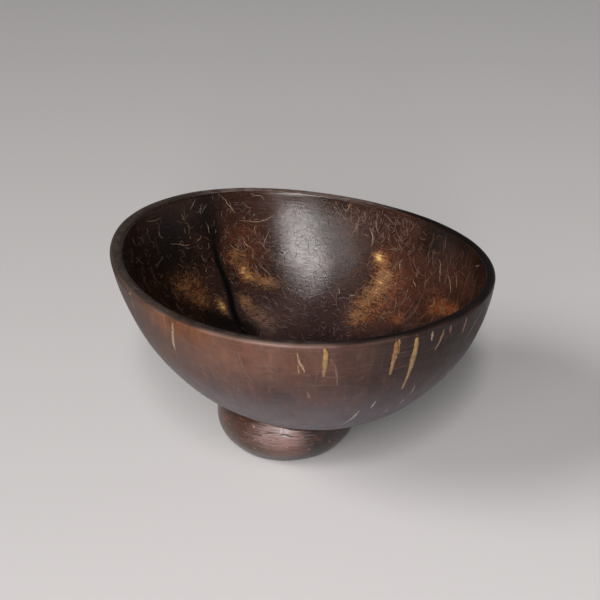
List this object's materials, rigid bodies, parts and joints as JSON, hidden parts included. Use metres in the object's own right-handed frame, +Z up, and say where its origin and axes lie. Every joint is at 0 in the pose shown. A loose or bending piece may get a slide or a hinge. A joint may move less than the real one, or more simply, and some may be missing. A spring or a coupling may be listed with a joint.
{
  "type": "footed coconut-shell bowl",
  "caption": "Small open bowl made from half a polished coconut shell, glued on a ring foot cut from coconut shell.",
  "frame": {"origin": "middle of the bounding box's bottom face, on the surface the bowl stands on", "axes": "+Z up. +X toward the side where the rim is lowest; -X toward the side where the rim is highest and the wall is thickest"},
  "size_m": [0.134, 0.1346, 0.077],
  "materials": {
    "polished_coconut_shell": "coconut shell, sanded and oiled to a satin polish, dark brown with golden fibre marks",
    "polished_coconut_foot": "coconut shell, sanded and oiled to a satin polish, red brown",
    "dark_adhesive": "hardened adhesive filled with coconut dust, dark and dull"
  },
  "bodies": {
    "root": {"bowl_shell": "polished_coconut_shell", "foot_ring": "polished_coconut_foot", "glue_bead": "dark_adhesive"}
  },
  "joints": []
}
